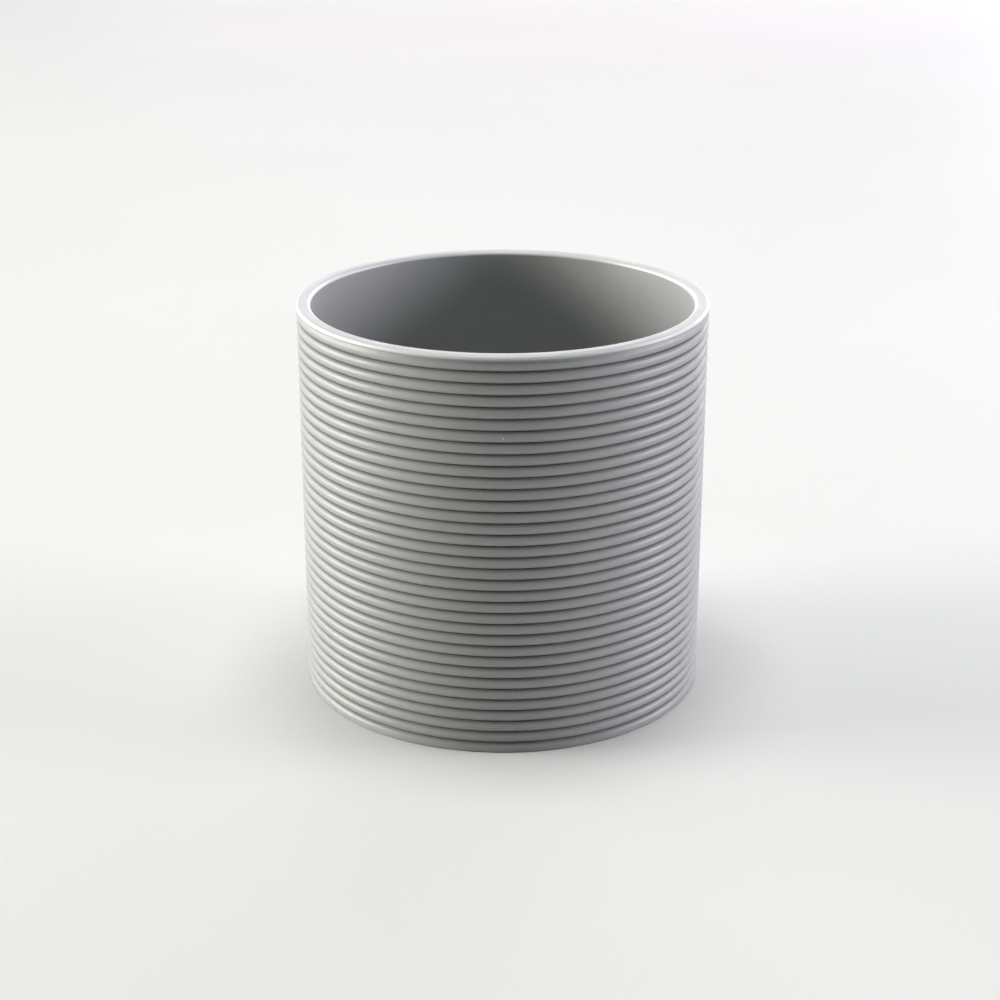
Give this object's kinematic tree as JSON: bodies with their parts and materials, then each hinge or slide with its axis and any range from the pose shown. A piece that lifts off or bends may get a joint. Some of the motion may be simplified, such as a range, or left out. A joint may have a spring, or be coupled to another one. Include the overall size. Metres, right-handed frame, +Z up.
{
  "type": "rock tumbler barrel",
  "caption": "Open-topped cylindrical rock tumbler barrel: ribbed rubber sleeve on a stiff tube, with a pressed-in base plate and a push-in rubber liner whose lip covers the rim.",
  "frame": {"origin": "centre of the underside, on the plane that the barrel stands on", "axes": "+Z up along the barrel's axis, out of its mouth; X and Y are alike, because the barrel is round"},
  "size_m": [0.114, 0.114, 0.1113],
  "materials": {
    "sleeve_rubber": "matt, moulded",
    "liner_rubber": "satin, moulded",
    "tube_metal": "mill finish",
    "plate_metal": "satin, turned"
  },
  "bodies": {
    "root": {"ribbed_sleeve": "sleeve_rubber", "liner_cup": "liner_rubber", "core_tube": "tube_metal", "base_plate": "plate_metal"}
  },
  "joints": []
}
